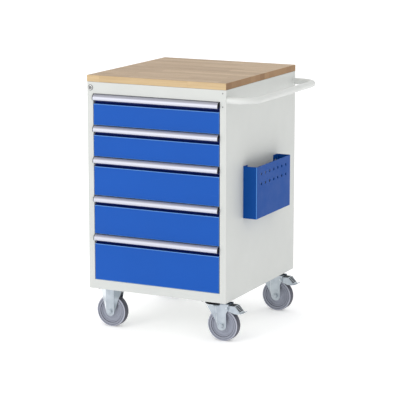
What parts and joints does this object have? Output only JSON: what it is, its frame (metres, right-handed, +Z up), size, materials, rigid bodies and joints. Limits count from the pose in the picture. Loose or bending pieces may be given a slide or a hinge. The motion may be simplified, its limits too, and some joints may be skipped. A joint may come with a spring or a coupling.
{
  "type": "mobile workbench with drawers",
  "caption": "Mobile sheet-steel tool cabinet with drawers, aluminium grip strips, wooden worktop, push handle, side pocket, fixed casters and braked swivel casters.",
  "frame": {"origin": "on the floor, in the middle of the overall length and depth, with the push handle and the grip strips included", "axes": "+Z up; drawers open towards -Y; push handle and swivel casters at +X"},
  "size_m": [0.6924, 0.6524, 0.9853],
  "materials": {
    "grey_paint": "light grey powder coat, fine texture, satin",
    "blue_paint": "gentian blue powder coat, fine texture, satin",
    "beech": "glued beech staves, oiled",
    "aluminium": "clear anodised extrusion",
    "zinc": "bright zinc plated pressed steel",
    "grey_rubber": "grey thermoplastic rubber, matt",
    "hub_plastic": "grey moulded polypropylene",
    "chrome": "nickel plated lock"
  },
  "bodies": {
    "cabinet": {"left_side": "grey_paint", "right_side": "grey_paint", "back_panel": "grey_paint", "base_plate": "grey_paint", "top_plate": "grey_paint", "left_stile": "grey_paint", "right_stile": "grey_paint", "top_rail": "grey_paint", "bottom_rail": "grey_paint", "worktop": "beech", "push_handle": "grey_paint", "side_pocket": "blue_paint", "lock_housing": "chrome", "runner_left_1": "zinc", "runner_right_1": "zinc", "runner_left_2": "zinc", "runner_right_2": "zinc", "runner_left_3": "zinc", "runner_right_3": "zinc", "runner_left_4": "zinc", "runner_right_4": "zinc", "runner_left_5": "zinc", "runner_right_5": "zinc", "fixed_bracket_front": "zinc", "fixed_axle_front": "zinc", "swivel_plate_front": "zinc", "fixed_bracket_back": "zinc", "fixed_axle_back": "zinc", "swivel_plate_back": "zinc"},
    "drawer_1": {"drawer_front_1": "blue_paint", "drawer_tray_1": "grey_paint", "grip_strip_1": "aluminium"},
    "drawer_2": {"drawer_front_2": "blue_paint", "drawer_tray_2": "grey_paint", "grip_strip_2": "aluminium"},
    "drawer_3": {"drawer_front_3": "blue_paint", "drawer_tray_3": "grey_paint", "grip_strip_3": "aluminium"},
    "drawer_4": {"drawer_front_4": "blue_paint", "drawer_tray_4": "grey_paint", "grip_strip_4": "aluminium"},
    "drawer_5": {"drawer_front_5": "blue_paint", "drawer_tray_5": "grey_paint", "grip_strip_5": "aluminium"},
    "lock_cylinder": {"lock_cylinder": "chrome"},
    "lock_bar": {"lock_bar": "zinc"},
    "fixed_wheel_front": {"fixed_wheel_front": "hub_plastic", "fixed_tyre_front": "grey_rubber"},
    "swivel_wheel_front": {"swivel_wheel_front": "hub_plastic", "swivel_tyre_front": "grey_rubber"},
    "swivel_fork_front": {"swivel_fork_front": "zinc", "swivel_axle_front": "zinc"},
    "brake_pedal_front": {"brake_pedal_front": "zinc"},
    "fixed_wheel_back": {"fixed_wheel_back": "hub_plastic", "fixed_tyre_back": "grey_rubber"},
    "swivel_wheel_back": {"swivel_wheel_back": "hub_plastic", "swivel_tyre_back": "grey_rubber"},
    "swivel_fork_back": {"swivel_fork_back": "zinc", "swivel_axle_back": "zinc"},
    "brake_pedal_back": {"brake_pedal_back": "zinc"}
  },
  "joints": [
    {"name": "drawer_1_slide", "type": "slide", "parent": "cabinet", "child": "drawer_1", "axis": [0, -1, 0], "range_m": [0, 0.48]},
    {"name": "drawer_2_slide", "type": "slide", "parent": "cabinet", "child": "drawer_2", "axis": [0, -1, 0], "range_m": [0, 0.48]},
    {"name": "drawer_3_slide", "type": "slide", "parent": "cabinet", "child": "drawer_3", "axis": [0, -1, 0], "range_m": [0, 0.48]},
    {"name": "drawer_4_slide", "type": "slide", "parent": "cabinet", "child": "drawer_4", "axis": [0, -1, 0], "range_m": [0, 0.48]},
    {"name": "drawer_5_slide", "type": "slide", "parent": "cabinet", "child": "drawer_5", "axis": [0, -1, 0], "range_m": [0, 0.48]},
    {"name": "lock_turn", "type": "hinge", "parent": "cabinet", "child": "lock_cylinder", "pos_m": [-0.33125, -0.31375, 0.938], "axis": [0, -1, 0], "range_deg": [0, 90]},
    {"name": "lock_bar_lift", "type": "slide", "parent": "cabinet", "child": "lock_bar", "axis": [0, 0, 1], "range_m": [0, 0.008]},
    {"name": "fixed_wheel_front_roll", "type": "hinge", "parent": "cabinet", "child": "fixed_wheel_front", "pos_m": [-0.28125, -0.24575, 0.0625], "axis": [0, 1, 0], "continuous": true},
    {"name": "caster_front_swivel", "type": "hinge", "parent": "cabinet", "child": "swivel_fork_front", "pos_m": [0.16075, -0.24575, 0.14], "axis": [0, 0, 1], "continuous": true},
    {"name": "swivel_wheel_front_roll", "type": "hinge", "parent": "swivel_fork_front", "child": "swivel_wheel_front", "pos_m": [0.19675, -0.24575, 0.0625], "axis": [0, 1, 0], "continuous": true},
    {"name": "brake_front_press", "type": "hinge", "parent": "swivel_fork_front", "child": "brake_pedal_front", "pos_m": [0.21875, -0.24575, 0.131], "axis": [0, 1, 0], "range_deg": [0, 12]},
    {"name": "fixed_wheel_back_roll", "type": "hinge", "parent": "cabinet", "child": "fixed_wheel_back", "pos_m": [-0.28125, 0.25825, 0.0625], "axis": [0, 1, 0], "continuous": true},
    {"name": "caster_back_swivel", "type": "hinge", "parent": "cabinet", "child": "swivel_fork_back", "pos_m": [0.16075, 0.25825, 0.14], "axis": [0, 0, 1], "continuous": true},
    {"name": "swivel_wheel_back_roll", "type": "hinge", "parent": "swivel_fork_back", "child": "swivel_wheel_back", "pos_m": [0.19675, 0.25825, 0.0625], "axis": [0, 1, 0], "continuous": true},
    {"name": "brake_back_press", "type": "hinge", "parent": "swivel_fork_back", "child": "brake_pedal_back", "pos_m": [0.21875, 0.25825, 0.131], "axis": [0, 1, 0], "range_deg": [0, 12]}
  ],
  "couplings": [
    {"joint": "lock_turn", "follows": "lock_bar_lift", "rad_per_m": 196.2}
  ]
}
